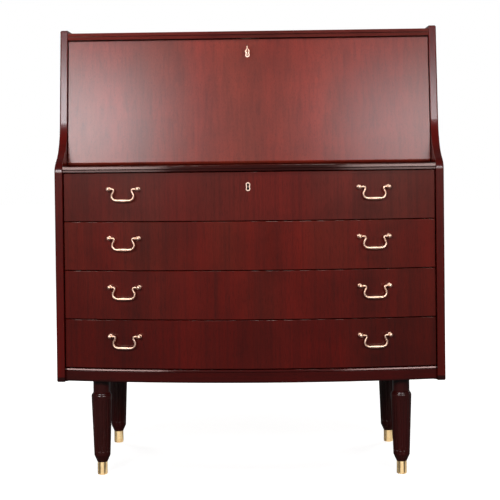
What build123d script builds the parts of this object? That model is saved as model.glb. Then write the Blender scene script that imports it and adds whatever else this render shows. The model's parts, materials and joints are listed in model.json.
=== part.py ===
from build123d import *

import os
from math import asin, cos, radians, sin, sqrt, tan

# Secretary desk: a bow-front chest of four drawers under a sloping writing flap, on turned legs.
# X runs to the right, Y from front to back and Z up. The floor is at Z = 0, and the origin is
# under the middle of the desk. Sizes are in millimetres and angles in degrees.

os.makedirs("parts", exist_ok=True)

# Overall sizes
overall_width = 920.0
overall_height = 1075.0
panel_depth = 410.0

# Carcase boards
panel_thickness = 19.0
panel_edge_radius = 4.0
panel_inner_radius = 2.0
panel_top_radius = 3.0
base_height = 231.6
base_thickness = 30.9
panel_below_base = 1.6
panel_foot_flare = 11.0
shelf_thickness = 14.0
top_thickness = 17.0
panel_above_top = 7.0
back_thickness = 6.0
back_rebate = 9.0

# Front outline of the side panels
slope_angle = 6.7
slope_setback = 75.0
flare_lift = 3.0
flare_angle = 60.0
flare_nose_radius = 30.0
flare_sweep_radius = 110.0

# Bow of the front and the mouldings of the three boards
bow_rise = 41.5
bow_setback = 8.0
shelf_overhang = 5.0
top_setback = 1.0
nose_height = 8.4
quirk_height = 1.6
quirk_depth = 2.5
nose_lean = 6.5
strip_lean = 6.5
top_lean = 14.0
bead_height = 5.6
bead_lean = 15.0
nose_top_radius = 2.2
nose_foot_radius = 0.8

# Drawers
drawer_count = 4
drawer_gap = 2.0
shelf_gap = 2.8
drawer_end_gap = 2.0
drawer_front_height = 113.7
drawer_front_thickness = 20.0
drawer_front_edge = 0.8
drawer_side_thickness = 14.0
drawer_side_lift = 4.0
drawer_side_drop = 12.0
drawer_rear_gap = 29.0
drawer_back_thickness = 12.0
drawer_bottom_thickness = 6.0
drawer_bottom_lift = 12.0
bottom_groove_depth = 5.0

# Drawer runners
runner_height = 9.0
runner_reach = 8.0
runner_front = 30.0
runner_rear_gap = 10.0
runner_clearance = 0.3
groove_clearance = 0.5
groove_lift = 50.0

# Writing flap and what it turns on
flap_thickness = 17.0
flap_setback = 6.0
flap_end_gap = 2.0
flap_foot_gap = 0.6
flap_heel_ease = 0.3
flap_top_gap = 3.0
flap_edge_radius = 1.0
pivot_radius = 4.0
pivot_length = 34.0
pivot_reach = 12.0
bush_radius = 7.0
bush_length = 13.0
stop_depth = 12.0
stop_height = 14.0
stop_gap = 0.3

# Inside of the desk
bed_front_gap = 0.6
pigeonhole_setback = 50.0
pigeonhole_board = 10.0
pigeonhole_bays = 3

# Locks, escutcheons and the key
flap_keyhole_drop = 34.6
drawer_keyhole_drop = 34.4
escutcheon_height = 20.4
escutcheon_width = 10.6
escutcheon_waist = 0.7
escutcheon_depth = 1.2
escutcheon_proud = 1.0
keyhole_radius = 3.0
keyhole_pitch = 9.0
keyhole_slot = 3.6
lock_width = 44.0
lock_height = 50.0
lock_depth = 10.0
lock_wall = 2.0
bolt_width = 26.0
bolt_height = 16.0
bolt_depth = 5.0
bolt_throw = 8.0
bolt_sink = 0.3
bolt_clearance = 0.3
strike_length = 56.0
strike_width = 16.0
strike_thickness = 1.2
strike_clearance = 1.2
key_radius = 2.3
key_pivot_radius = 1.5
key_bit_reach = 7.5
key_bit_length = 5.0
key_bit_thickness = 2.0
key_bit_clearance = 0.8
key_shank_out = 20.0
key_collar_radius = 3.4
key_collar_length = 3.0
key_bow_radius = 8.2
key_bow_wire = 1.5
running_clearance = 0.05
end_gap = 0.5

# Swan-neck handles
handle_inset = 145.4
handle_drop = 37.6
handle_spacing = 70.5
post_reach = 12.0
post_ball_radius = 4.8
post_stem_radius = 3.0
post_collar_radius = 4.5
post_collar_height = 2.0
post_shank_radius = 2.0
post_shank_clearance = 0.1
post_seat_gap = 0.1
nut_width = 7.0
nut_height = 3.2
nut_seat_gap = 0.05
shank_past_nut = 2.0
bail_wire_radius = 2.3
bail_pin_radius = 1.5
bail_pin_depth = 3.5
bail_pin_show = 1.1
bail_neck_run = 10.4
bail_foot_inset = 3.5
bail_drop = 26.8
bail_neck_radius = 4.2
bail_foot_radius = 10.4
bail_swell_radius = 3.3
bail_swell_half = 15.0

# Legs and ferrules
leg_side_inset = 82.2
leg_inset = 40.0
leg_tenon_radius = 12.0
leg_tenon_length = 18.0
leg_neck_radius = 20.0
leg_shoulder_radius = 24.6
leg_bead_height = 5.0
leg_quirk = 0.8
leg_bead_rounding = 9.0
leg_ankle_height = 47.0
leg_ankle_radius = 19.4
leg_ankle_rounding = 4.0
leg_neck_length = 32.4
flute_count = 14
flute_radius = 4.5
flute_sink = 1.0
flute_margin = 7.0
ferrule_height = 31.0
ferrule_radius = 12.2
ferrule_wall = 1.5
ferrule_floor = 2.0
ferrule_edge = 3.0
ferrule_gap = 0.1

# Heights and widths that follow from the sizes above
inner_half = overall_width / 2 - panel_thickness
base_top = base_height + base_thickness
drawer_pitch = drawer_front_height + drawer_gap
drawer_side_height = drawer_front_height - drawer_side_lift - drawer_side_drop
shelf_underside = base_top + drawer_count * drawer_pitch + shelf_gap
shelf_top = shelf_underside + shelf_thickness
top_surface = overall_height - panel_above_top
top_underside = top_surface - top_thickness
panel_bottom = base_height - panel_below_base
leg_spread = inner_half - leg_side_inset

# Depths: front_y is the plane of the panels' front edges, and the shelf's nose stands ahead of it
nose_reach = bow_rise - bow_setback + shelf_overhang
front_y = -(panel_depth - nose_reach) / 2
back_y = front_y + panel_depth
back_face_y = back_y - back_thickness
drawer_rear_y = back_face_y - drawer_rear_gap

# Circle of the bow, through the drawer fronts' ends and their foremost point
drawer_half = inner_half - drawer_end_gap
bow_radius = (drawer_half**2 + bow_rise**2) / (2 * bow_rise)
bow_centre_y = front_y + bow_setback - bow_rise + bow_radius
handle_x = drawer_half - handle_inset

# Line of the slope, and the corners where the flare meets the upright edge and the slope
flare_z = shelf_top + flare_lift
slope = tan(radians(slope_angle))
flare_rise = slope_setback / (tan(radians(flare_angle)) - slope)
flare_run = flare_rise * tan(radians(flare_angle))


def slope_y(height):
    """Depth of the side panels' sloping front edge at a height."""
    return front_y + slope_setback + (height - flare_z) * slope


def bow_y(x, reach=0.0):
    """Depth of a bowed face at x, with the face that far ahead of the drawer fronts."""
    return bow_centre_y - sqrt((bow_radius + reach) ** 2 - x**2)


def bow_plan(height, half_width, reach, rear_y):
    """Plan of a board with a bowed front and a straight back."""
    end_y = bow_y(half_width, reach)
    with BuildSketch(Plane.XY.offset(height)) as plan:
        with BuildLine():
            front = ThreePointArc((-half_width, end_y), (0, bow_y(0, reach)), (half_width, end_y))
            Polyline(front @ 1, (half_width, rear_y), (-half_width, rear_y), front @ 0)
        make_face()
    return plan.sketch


def straight_plan(height, half_width, nose_y, rear_y):
    """Plan of a board with a straight front."""
    with BuildSketch(Plane.XY.offset(height)) as plan:
        with Locations((0, (nose_y + rear_y) / 2)):
            Rectangle(2 * half_width, rear_y - nose_y)
    return plan.sketch


def block(low, high, mode=Mode.ADD):
    """Adds a box to the part that is being built, or cuts it, between two corners."""
    size = [top - bottom for bottom, top in zip(low, high)]
    middle = [(top + bottom) / 2 for bottom, top in zip(low, high)]
    with Locations(tuple(middle)):
        Box(*size, mode=mode)


def finish(part, name):
    """Labels a finished piece and writes it."""
    part.label = name
    export_step(part, f"parts/{name}.step")


# Places of the flap and the locks
pivot_z = shelf_top + flap_foot_gap + flap_thickness / 2
pivot_y = slope_y(pivot_z) + (flap_setback + flap_thickness / 2) / cos(radians(slope_angle))
flap_up = Vector(0, sin(radians(slope_angle)), cos(radians(slope_angle)))
flap_out = Vector(0, -flap_up.Z, flap_up.Y)
flap_plane = Plane(origin=(0, pivot_y, pivot_z), x_dir=(1, 0, 0), z_dir=flap_out)
flap_top_rise = flap_thickness / 2 * flap_up.Y
flap_length = (top_underside - flap_top_gap - flap_top_rise - pivot_z) / flap_up.Z
flap_half = inner_half - flap_end_gap
stop_y = flap_plane.from_local_coords((0, flap_length, -flap_thickness / 2)).Y + stop_gap
drawer_tops = [shelf_underside - shelf_gap - row * drawer_pitch for row in range(drawer_count)]


def side_panel(side):
    """Side panel with the swept front edge, a flare under the base board, a rebate for the back and a
    socket for the flap's bush."""
    inner_x = side * inner_half
    corners = [
        (front_y, panel_bottom),
        (front_y, flare_z),
        (front_y + flare_run, flare_z + flare_rise),
        (slope_y(overall_height), overall_height),
        (back_y, overall_height),
    ]
    with BuildPart() as panel:
        with BuildSketch(Plane.YZ.offset(inner_x)):
            with BuildLine():
                edge = FilletPolyline(
                    *corners, radius=[flare_nose_radius, flare_sweep_radius, panel_top_radius]
                )
                Polyline(edge @ 1, (back_y, panel_bottom), edge @ 0)
            make_face()
        extrude(amount=side * panel_thickness)
        outwards = Axis((0, 0, 0), (side, 0, 0))
        fillet(panel.faces().sort_by(outwards)[-1].edges().sort_by(Axis.Y)[:-1], panel_edge_radius)
        front_and_top = panel.faces().sort_by(outwards)[0].edges().sort_by(Axis.Y)[:-1].sort_by(Axis.Z)[1:]
        fillet(front_and_top, panel_inner_radius)
        with BuildSketch(Plane((0, front_y + bow_setback, 0), x_dir=(1, 0, 0), z_dir=(0, -1, 0))):
            with BuildLine():
                Polyline(
                    (inner_x, panel_bottom),
                    (inner_x, base_height),
                    (inner_x - side * panel_foot_flare, base_height),
                    close=True,
                )
            make_face()
        extrude(amount=front_y + bow_setback - back_face_y)
        block(
            (min(inner_x, inner_x + side * back_rebate), back_face_y, panel_bottom),
            (max(inner_x, inner_x + side * back_rebate), back_y, top_underside),
            Mode.SUBTRACT,
        )
        with Locations(Plane((inner_x, pivot_y, pivot_z), z_dir=(-side, 0, 0))):
            Hole(bush_radius, bush_length)
    return panel.part


def moulded_board(plan, underside, thickness, nose, lean, strip_leans=True):
    """Board whose front edge is a nose that leans back, over a quirk and a strip that may lean too. The
    plan is a function of a height and of how far that layer's face stands ahead of the quirk."""
    nose_underside = underside + thickness - nose
    quirk_underside = nose_underside - quirk_height
    with BuildPart() as board:
        extrude(plan(nose_underside, quirk_depth), amount=nose)
        draft(board.faces().sort_by(Axis.Y)[0], Plane.XY.offset(nose_underside), lean)
        fillet(board.faces().sort_by(Axis.Y)[0].edges().sort_by(Axis.Z)[-1], nose_top_radius)
        fillet(board.faces().sort_by(Axis.Y)[0].edges().sort_by(Axis.Z)[0], nose_foot_radius)
        extrude(plan(quirk_underside, 0), amount=quirk_height)
        extrude(plan(underside, quirk_depth), amount=quirk_underside - underside)
        if strip_leans:
            draft(board.faces().sort_by(Axis.Y)[0], Plane.XY.offset(underside), strip_lean)
    return board.part


def base_plan(height, ahead):
    """Layer of the base board, whose face is flush with the drawer fronts."""
    return bow_plan(height, inner_half, ahead - quirk_depth, back_face_y)


def shelf_plan(height, ahead):
    """Layer of the desk shelf, which stands ahead of the drawer fronts."""
    return bow_plan(height, inner_half, ahead - quirk_depth + shelf_overhang, back_face_y)


def top_plan(height, ahead):
    """Layer of the top board, straight and just behind the side panels' edges."""
    nose_y = slope_y(top_underside) + top_setback + quirk_depth - ahead
    return straight_plan(height, inner_half, nose_y, back_y)


def raised(plane, height):
    """A plane moved up along itself."""
    return Plane(origin=plane.from_local_coords((0, height, 0)), x_dir=plane.x_dir, z_dir=plane.z_dir)


def keyhole_sketch(plane, height):
    """Upright keyhole with two round ends, its middle at a height on a plane."""
    with BuildSketch(raised(plane, height)) as keyhole:
        Rectangle(keyhole_slot, keyhole_pitch)
        with Locations((0, keyhole_pitch / 2), (0, -keyhole_pitch / 2)):
            Circle(keyhole_radius)
    return keyhole.sketch


def escutcheon_sketch(plane, height):
    """Outline of an escutcheon: round ends and a slight waist."""
    half_width = escutcheon_width / 2
    shoulder = escutcheon_height / 2 - half_width
    with BuildSketch(raised(plane, height)) as outline:
        with BuildLine():
            end = ThreePointArc((-half_width, shoulder), (0, escutcheon_height / 2), (half_width, shoulder))
            waist = ThreePointArc(end @ 1, (half_width - escutcheon_waist, 0), (half_width, -shoulder))
            mirror(end, about=Plane.XZ)
            mirror(waist, about=Plane.YZ)
        make_face()
    return outline.sketch


def escutcheon(face_plane, height):
    """Brass escutcheon let into a face, standing a little proud of it."""
    sunk_plane = face_plane.offset(-escutcheon_depth)
    plate_thickness = escutcheon_depth + escutcheon_proud
    with BuildPart() as plate:
        extrude(escutcheon_sketch(sunk_plane, height), amount=plate_thickness)
        extrude(keyhole_sketch(sunk_plane, height), amount=plate_thickness, mode=Mode.SUBTRACT)
    return plate.part


def lock_block(back_plane, top, behind=0.0):
    """Outside of a lock case, its back on a plane or behind it and its top edge at a height there."""
    with BuildPart() as outside:
        with BuildSketch(raised(back_plane, top - lock_height / 2).offset(-behind)):
            Rectangle(lock_width, lock_height)
        extrude(amount=lock_depth + behind)
    return outside.part


def lock_case(back_plane, top, keyhole_drop):
    """Lock case with the bolt's channel, the chamber where the key's bit turns, and the keyhole."""
    key_plane = raised(back_plane, top - keyhole_drop + keyhole_pitch / 2)
    channel_height = bolt_height + bolt_sink + end_gap
    channel_plane = raised(back_plane, top - channel_height / 2)
    with BuildPart() as case:
        add(lock_block(back_plane, top))
        with BuildSketch(channel_plane.offset((lock_depth - bolt_depth) / 2 - bolt_clearance)):
            Rectangle(bolt_width + 2 * bolt_clearance, channel_height)
        extrude(amount=bolt_depth + 2 * bolt_clearance, mode=Mode.SUBTRACT)
        with BuildSketch(key_plane.offset(lock_wall)):
            Circle(key_bit_reach + key_bit_clearance)
        extrude(amount=lock_depth - 2 * lock_wall, mode=Mode.SUBTRACT)
        with BuildSketch(key_plane):
            Circle(key_pivot_radius + running_clearance)
        extrude(amount=lock_wall, mode=Mode.SUBTRACT)
        front_wall = back_plane.offset(lock_depth - lock_wall)
        extrude(keyhole_sketch(front_wall, top - keyhole_drop), amount=lock_wall, mode=Mode.SUBTRACT)
    return case.part


def lock_bolt(back_plane, top):
    """Bolt at rest inside its case, its end just under the board's top edge."""
    bolt_plane = raised(back_plane, top - bolt_sink - bolt_height / 2)
    with BuildPart() as bolt:
        with BuildSketch(bolt_plane.offset((lock_depth - bolt_depth) / 2)):
            Rectangle(bolt_width, bolt_height)
        extrude(amount=bolt_depth)
    return bolt.part


def lock_cut(back_plane, thickness, top, keyhole_drop):
    """What a lock takes out of its board: the case, the keyhole and the escutcheon's recess."""
    recess_plane = back_plane.offset(thickness - escutcheon_depth)
    recess_cut = escutcheon_depth + escutcheon_proud
    with BuildPart() as cut:
        add(lock_block(back_plane, top, end_gap))
        extrude(keyhole_sketch(back_plane, top - keyhole_drop), amount=thickness)
        extrude(escutcheon_sketch(recess_plane, top - keyhole_drop), amount=recess_cut)
    return cut.part


def strike_slot_sketch(plane):
    """Slot that a bolt enters, wide enough for a bolt that comes in at a slant."""
    with BuildSketch(plane) as slot:
        Rectangle(bolt_width + 2 * strike_clearance, bolt_depth + 2 * strike_clearance)
    return slot.sketch


def strike_plate_block(plane):
    """Outside of a strike plate let into the underside of a board."""
    with BuildPart() as plate:
        with BuildSketch(plane):
            Rectangle(strike_length, strike_width)
        extrude(amount=strike_thickness)
    return plate.part


def strike_cut(plane):
    """What a strike plate and the bolt above it take out of a board."""
    with BuildPart() as cut:
        add(strike_plate_block(plane))
        extrude(strike_slot_sketch(plane), amount=bolt_throw)
    return cut.part


# Planes at the backs of the two locked boards, and at the undersides of the boards above them
flap_back = flap_plane.offset(-flap_thickness / 2)
drawer_back_face = Plane(
    origin=(0, bow_y(0, -drawer_front_thickness), drawer_tops[0]), x_dir=(1, 0, 0), z_dir=(0, -1, 0)
)
flap_bolt_out = lock_depth / 2 - flap_thickness / 2
flap_strike_y = pivot_y + (top_underside - pivot_z) * slope - flap_bolt_out / cos(radians(slope_angle))
flap_strike_plane = Plane((0, flap_strike_y, top_underside))
drawer_strike_plane = Plane((0, drawer_back_face.origin.Y - lock_depth / 2, shelf_underside))

# Side panels
for side, name in ((-1, "left_side_panel"), (1, "right_side_panel")):
    finish(side_panel(side), name)

# Legs stand under the base board, two in front and two behind
leg_places = {
    "front_left": (-leg_spread, front_y + leg_inset),
    "front_right": (leg_spread, front_y + leg_inset),
    "rear_left": (-leg_spread, back_y - leg_inset),
    "rear_right": (leg_spread, back_y - leg_inset),
}

# Base board, with sockets for the legs' tenons
with BuildPart() as base_board:
    add(moulded_board(base_plan, base_height, base_thickness, bead_height, bead_lean, strip_leans=False))
    for x, y in leg_places.values():
        with Locations(Plane((x, y, base_height), z_dir=(0, 0, -1))):
            Hole(leg_tenon_radius, leg_tenon_length)
finish(base_board.part, "base_board")

# Desk shelf over the drawers, with the drawer lock's strike let into its underside
with BuildPart() as desk_shelf:
    add(moulded_board(shelf_plan, shelf_underside, shelf_thickness, nose_height, nose_lean))
    add(strike_cut(drawer_strike_plane), mode=Mode.SUBTRACT)
finish(desk_shelf.part, "desk_shelf")

# Top board, with the fall lock's strike let into its underside
with BuildPart() as top_board:
    add(moulded_board(top_plan, top_underside, top_thickness, nose_height, top_lean))
    add(strike_cut(flap_strike_plane), mode=Mode.SUBTRACT)
finish(top_board.part, "top_board")

# Back panel in the side panels' rebates
with BuildPart() as back_panel:
    back_half = inner_half + back_rebate
    block((-back_half, back_face_y, base_height), (back_half, back_y, top_underside))
finish(back_panel.part, "back_panel")

# Strike plates of both locks
with BuildPart() as strike_plates:
    for plane in (flap_strike_plane, drawer_strike_plane):
        add(strike_plate_block(plane))
        extrude(strike_slot_sketch(plane), amount=strike_thickness, mode=Mode.SUBTRACT)
finish(strike_plates.part, "strike_plates")

# Drawer runners, one strip for each drawer on each side panel
runner_heights = [top - drawer_front_height + drawer_side_lift + groove_lift for top in drawer_tops]
for side, name in ((-1, "left_drawer_runners"), (1, "right_drawer_runners")):
    near_x, far_x = sorted((side * inner_half, side * (inner_half - runner_reach)))
    with BuildPart() as runners:
        for height in runner_heights:
            block(
                (near_x, front_y + runner_front, height - runner_height / 2),
                (far_x, back_face_y - runner_rear_gap, height + runner_height / 2),
            )
    finish(runners.part, name)

# Writing bed, flush with the inner face of the opened flap
bed_top = pivot_z + flap_thickness / 2
with BuildPart() as writing_bed:
    closed_flap_back_y = pivot_y + flap_thickness / 2 * (slope + 1 / flap_up.Z)
    bed_front_y = closed_flap_back_y + bed_front_gap
    block((-inner_half, bed_front_y, shelf_top), (inner_half, back_face_y, bed_top))
finish(writing_bed.part, "writing_bed")

# Pigeonholes at the back of the desk: one shelf, with dividers under it and over it
pigeonhole_front_y = stop_y + stop_depth + pigeonhole_setback
pigeonhole_shelf_z = (bed_top + top_underside - pigeonhole_board) / 2
with BuildPart() as pigeonhole_shelf:
    block(
        (-inner_half, pigeonhole_front_y, pigeonhole_shelf_z),
        (inner_half, back_face_y, pigeonhole_shelf_z + pigeonhole_board),
    )
finish(pigeonhole_shelf.part, "pigeonhole_shelf")

with BuildPart() as pigeonhole_dividers:
    bay_pitch = 2 * inner_half / pigeonhole_bays
    for bay in range(1, pigeonhole_bays):
        divider_x = bay * bay_pitch - inner_half
        for low_z, high_z in (
            (bed_top, pigeonhole_shelf_z),
            (pigeonhole_shelf_z + pigeonhole_board, top_underside),
        ):
            block(
                (divider_x - pigeonhole_board / 2, pigeonhole_front_y, low_z),
                (divider_x + pigeonhole_board / 2, back_face_y, high_z),
            )
finish(pigeonhole_dividers.part, "pigeonhole_dividers")

# Writing flap, rounded along its lower edge about the line that it turns on
flap_end = Plane(origin=(-flap_half, pivot_y, pivot_z), x_dir=-flap_out, z_dir=(1, 0, 0))
with BuildPart() as fall_flap:
    with BuildSketch(flap_end):
        with BuildLine():
            half = flap_thickness / 2
            heel_radius = half + flap_heel_ease
            heel_drop = sqrt(heel_radius**2 - half**2)
            faces = Polyline(
                (-half, -heel_drop), (-half, flap_length), (half, flap_length), (half, -heel_drop)
            )
            ThreePointArc(faces @ 1, (0, -heel_radius), faces @ 0)
        make_face()
    extrude(amount=2 * flap_half)
    top_edges = fall_flap.faces().sort_by(Axis.Z)[-1].edges().filter_by(Axis.X)
    fillet(top_edges, flap_edge_radius)
    add(lock_cut(flap_back, flap_thickness, flap_length, flap_keyhole_drop), mode=Mode.SUBTRACT)
    for side in (-1, 1):
        with Locations(Plane((side * flap_half, pivot_y, pivot_z), z_dir=(side, 0, 0))):
            Hole(pivot_radius, pivot_length - pivot_reach - flap_end_gap)
finish(fall_flap.part, "fall_flap")

# Pivot pins in the flap's ends, and the bushes that they turn in
with BuildPart() as flap_pivot_pins:
    for side in (-1, 1):
        tip_x = side * (inner_half + pivot_reach)
        with BuildSketch(Plane((tip_x, pivot_y, pivot_z), z_dir=(-side, 0, 0))):
            Circle(pivot_radius)
        extrude(amount=pivot_length)
finish(flap_pivot_pins.part, "flap_pivot_pins")

with BuildPart() as flap_bushes:
    for side in (-1, 1):
        with BuildSketch(Plane((side * inner_half, pivot_y, pivot_z), z_dir=(side, 0, 0))):
            Circle(bush_radius)
            Circle(pivot_radius + running_clearance, mode=Mode.SUBTRACT)
        extrude(amount=bush_length)
finish(flap_bushes.part, "flap_bushes")

# Stop strip behind the closed flap's top edge
with BuildPart() as flap_stop:
    stop_underside = top_underside - stop_height
    block((-inner_half, stop_y, stop_underside), (inner_half, stop_y + stop_depth, top_underside))
finish(flap_stop.part, "flap_stop")

# Fall lock: case, bolt and escutcheon
flap_face = flap_plane.offset(flap_thickness / 2)
finish(lock_case(flap_back, flap_length, flap_keyhole_drop), "fall_lock_case")
finish(lock_bolt(flap_back, flap_length), "fall_lock_bolt")
finish(escutcheon(flap_face, flap_length - flap_keyhole_drop), "fall_escutcheon")

# Key in the fall lock, its ring upright and its bit hanging down in the chamber
key_plane = raised(flap_back, flap_length - flap_keyhole_drop + keyhole_pitch / 2)
shank_start = lock_wall + end_gap
shank_end = flap_thickness + escutcheon_proud + key_shank_out
with BuildPart() as key:
    with BuildSketch(key_plane.offset(end_gap)):
        Circle(key_pivot_radius)
    extrude(amount=shank_start)
    with BuildSketch(key_plane.offset(shank_start)):
        Circle(key_radius)
    extrude(amount=shank_end - shank_start)
    with BuildSketch(raised(key_plane, -key_bit_reach / 2).offset(shank_start)):
        Rectangle(key_bit_thickness, key_bit_reach)
    extrude(amount=key_bit_length)
    with BuildSketch(key_plane.offset(shank_end - key_collar_length)):
        Circle(key_collar_radius)
    extrude(amount=key_collar_length)
    ring_centre = key_plane.offset(shank_end + key_bow_radius).origin
    with Locations(Plane(origin=ring_centre, z_dir=(1, 0, 0))):
        Torus(key_bow_radius, key_bow_wire)
finish(key.part, "key")

# Lock of the top drawer
drawer_face = drawer_back_face.offset(drawer_front_thickness)
finish(lock_case(drawer_back_face, 0, drawer_keyhole_drop), "drawer_lock_case")
finish(lock_bolt(drawer_back_face, 0), "drawer_lock_bolt")
finish(escutcheon(drawer_face, -drawer_keyhole_drop), "drawer_escutcheon")

# Handle post about its own axis: collar on the drawer front, stem, ball, and a shank through the front
shank_length = drawer_front_thickness + nut_height + shank_past_nut
ball_start = post_reach - sqrt(post_ball_radius**2 - post_stem_radius**2)
bore_depth = bail_pin_depth + end_gap
with BuildPart() as handle_post:
    with BuildSketch(Plane.XZ):
        with BuildLine():
            Polyline(
                (0, post_reach + post_ball_radius),
                (0, -shank_length),
                (post_shank_radius, -shank_length),
                (post_shank_radius, 0),
                (post_collar_radius, 0),
                (post_collar_radius, post_collar_height / 2),
                (post_stem_radius, post_collar_height),
                (post_stem_radius, ball_start),
            )
            ThreePointArc(
                (post_stem_radius, ball_start),
                (post_ball_radius, post_reach),
                (0, post_reach + post_ball_radius),
            )
        make_face()
    revolve(axis=Axis.Z)
    with Locations(Plane((post_ball_radius, 0, post_reach), z_dir=(1, 0, 0))):
        Hole(bail_pin_radius + running_clearance, bore_depth)

# Bail in the plane of its posts' axis: two swan necks, the bar with its swell, and a pin at each end
neck_start = handle_spacing / 2 - post_ball_radius - bail_pin_show
pin_end = handle_spacing / 2 - post_ball_radius + bail_pin_depth
bail_neck_half = neck_start - bail_neck_run
bail_foot_half = handle_spacing / 2 - bail_foot_inset
with BuildPart() as bail:
    with BuildLine() as bail_path:
        FilletPolyline(
            (-neck_start, 0),
            (-bail_neck_half, 0),
            (-bail_foot_half, -bail_drop),
            (bail_foot_half, -bail_drop),
            (bail_neck_half, 0),
            (neck_start, 0),
            radius=[bail_neck_radius, bail_foot_radius, bail_foot_radius, bail_neck_radius],
        )
    with BuildSketch(Plane((-neck_start, 0, 0), z_dir=(1, 0, 0))):
        Circle(bail_wire_radius)
    sweep(path=bail_path.line)
    with BuildSketch(Plane.XY):
        with BuildLine():
            ThreePointArc(
                (-bail_swell_half, bail_wire_radius - bail_drop),
                (0, bail_swell_radius - bail_drop),
                (bail_swell_half, bail_wire_radius - bail_drop),
            )
            Polyline(
                (bail_swell_half, bail_wire_radius - bail_drop),
                (bail_swell_half, -bail_drop),
                (-bail_swell_half, -bail_drop),
                (-bail_swell_half, bail_wire_radius - bail_drop),
            )
        make_face()
    revolve(axis=Axis((0, -bail_drop, 0), (1, 0, 0)))
    for side in (-1, 1):
        with BuildSketch(Plane((side * pin_end, 0, 0), z_dir=(-side, 0, 0))):
            Circle(bail_pin_radius)
        extrude(amount=pin_end - neck_start)

# Nut behind a handle post
with BuildPart() as handle_nut:
    with BuildSketch(Plane.XY):
        RegularPolygon(nut_width / 2, 6, major_radius=False)
        Circle(post_shank_radius, mode=Mode.SUBTRACT)
    extrude(amount=-nut_height)

# Seats of the posts and nuts: the bow falls away from the handle's middle
handle_turn = asin(handle_x / bow_radius)
post_seat = post_seat_gap - (handle_spacing / 2) ** 2 / (2 * bow_radius)
nut_far_edge = handle_spacing / 2 + nut_width / sqrt(3)
inner_bow_radius = bow_radius - drawer_front_thickness
nut_seat = -drawer_front_thickness - nut_far_edge**2 / (2 * inner_bow_radius) - nut_seat_gap


def handle_plane(side, row):
    """Plane on a drawer's bowed face at the middle of a handle, facing out."""
    return Plane(
        origin=(side * handle_x, bow_y(handle_x), drawer_tops[row] - handle_drop),
        x_dir=(cos(handle_turn), side * sin(handle_turn), 0),
        z_dir=(side * sin(handle_turn), -cos(handle_turn), 0),
    )


def drawer_bottom(row):
    """Bottom, in grooves of the drawer's front and sides."""
    floor_z = drawer_tops[row] - drawer_front_height + drawer_bottom_lift
    half_width = drawer_half - drawer_side_thickness + bottom_groove_depth
    reach = bottom_groove_depth - drawer_front_thickness
    with BuildPart() as bottom:
        extrude(bow_plan(floor_z, half_width, reach, drawer_rear_y), amount=drawer_bottom_thickness)
    return bottom.part


def drawer_front(row):
    """Bowed front with the posts' holes and a groove for the bottom, and a lock's room in the top one."""
    inner_reach = -drawer_front_thickness
    shank_hole_radius = post_shank_radius + post_shank_clearance
    with BuildPart() as front:
        with BuildSketch(Plane.XY.offset(drawer_tops[row] - drawer_front_height)):
            with BuildLine():
                end_y = bow_y(drawer_half)
                inner_end_y = bow_y(drawer_half, inner_reach)
                outer = ThreePointArc((-drawer_half, end_y), (0, bow_y(0)), (drawer_half, end_y))
                inner = ThreePointArc(
                    (drawer_half, inner_end_y), (0, bow_y(0, inner_reach)), (-drawer_half, inner_end_y)
                )
                Line(outer @ 1, inner @ 0)
                Line(inner @ 1, outer @ 0)
            make_face()
        extrude(amount=drawer_front_height)
        fillet(front.faces().sort_by(Axis.Y)[0].edges(), drawer_front_edge)
        for side in (-1, 1):
            with Locations(handle_plane(side, row)):
                with Locations((-handle_spacing / 2, 0), (handle_spacing / 2, 0)):
                    Cylinder(shank_hole_radius, 3 * drawer_front_thickness, mode=Mode.SUBTRACT)
        add(drawer_bottom(row), mode=Mode.SUBTRACT)
        if row == 0:
            cut = lock_cut(drawer_back_face, drawer_front_thickness, 0, drawer_keyhole_drop)
            add(cut, mode=Mode.SUBTRACT)
    return front.part


def drawer_sides(row):
    """Both sides of a drawer, grooved outside for the runners and inside for the bottom."""
    low_z = drawer_tops[row] - drawer_front_height + drawer_side_lift
    inner_x = drawer_half - drawer_side_thickness
    groove_half = runner_height / 2 + runner_clearance
    groove_x = inner_half - runner_reach - groove_clearance
    with BuildPart() as sides:
        for side in (-1, 1):
            with BuildSketch(Plane.XY.offset(low_z)):
                with BuildLine():
                    Polyline(
                        (side * drawer_half, bow_y(drawer_half, -drawer_front_thickness)),
                        (side * inner_x, bow_y(inner_x, -drawer_front_thickness)),
                        (side * inner_x, drawer_rear_y),
                        (side * drawer_half, drawer_rear_y),
                        close=True,
                    )
                make_face()
            extrude(amount=drawer_side_height)
            near_x, far_x = sorted((side * groove_x, side * drawer_half))
            block(
                (near_x, front_y + runner_front - groove_clearance, runner_heights[row] - groove_half),
                (far_x, drawer_rear_y, runner_heights[row] + groove_half),
                Mode.SUBTRACT,
            )
        add(drawer_bottom(row), mode=Mode.SUBTRACT)
    return sides.part


def drawer_back(row):
    """Back between the sides, standing on the bottom."""
    front_z = drawer_tops[row] - drawer_front_height
    bottom_top_z = front_z + drawer_bottom_lift + drawer_bottom_thickness
    inner_x = drawer_half - drawer_side_thickness
    with BuildPart() as back:
        block(
            (-inner_x, drawer_rear_y - drawer_back_thickness, bottom_top_z),
            (inner_x, drawer_rear_y, front_z + drawer_side_lift + drawer_side_height),
        )
    return back.part


def handle_posts(row):
    """Four posts of a drawer's two handles, with their bores towards the bails."""
    with BuildPart() as posts:
        for side in (-1, 1):
            with Locations(handle_plane(side, row).offset(post_seat)):
                with Locations((-handle_spacing / 2, 0), Location((handle_spacing / 2, 0, 0), (0, 0, 180))):
                    add(handle_post.part)
    return posts.part


def handle_nuts(row):
    """Nuts on the posts' shanks, behind the front."""
    with BuildPart() as nuts:
        for side in (-1, 1):
            with Locations(handle_plane(side, row).offset(nut_seat)):
                with Locations((-handle_spacing / 2, 0), (handle_spacing / 2, 0)):
                    add(handle_nut.part)
    return nuts.part


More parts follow.
